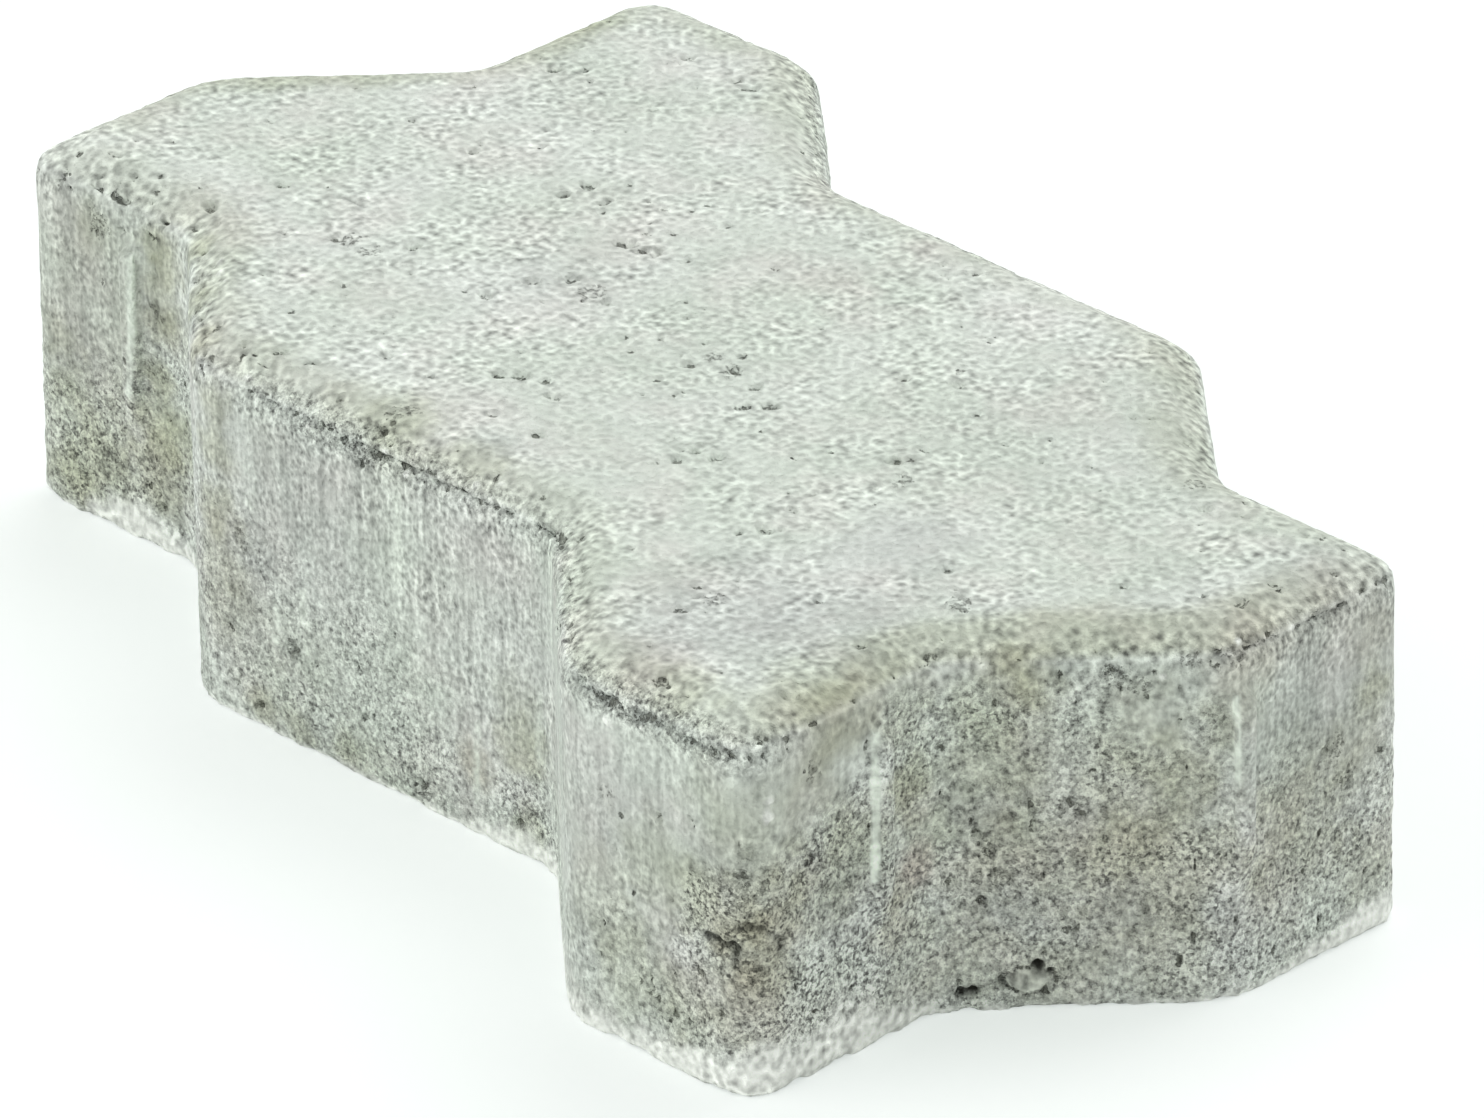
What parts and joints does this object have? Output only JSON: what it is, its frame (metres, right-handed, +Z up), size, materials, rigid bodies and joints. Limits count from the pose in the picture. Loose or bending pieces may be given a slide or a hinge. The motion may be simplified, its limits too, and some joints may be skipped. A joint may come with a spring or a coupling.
{
  "type": "concrete paving stone",
  "caption": "Interlocking concrete paving stone with stepped sides, a bevelled top rim and upright spacer nibs; lies flat on bedding and locks with its neighbours.",
  "frame": {"origin": "centre of the underside, in the plane that rests on the bedding", "axes": "+X along the stone's long axis, +Y across it, +Z up through the walking face"},
  "size_m": [0.2476, 0.1634, 0.06],
  "materials": {
    "concrete": "weathered pale grey concrete, gritty top, streaked and pitted sides, rust and olive stains, white lime rim at the foot"
  },
  "bodies": {
    "root": {"paving_stone": "concrete"}
  },
  "joints": []
}
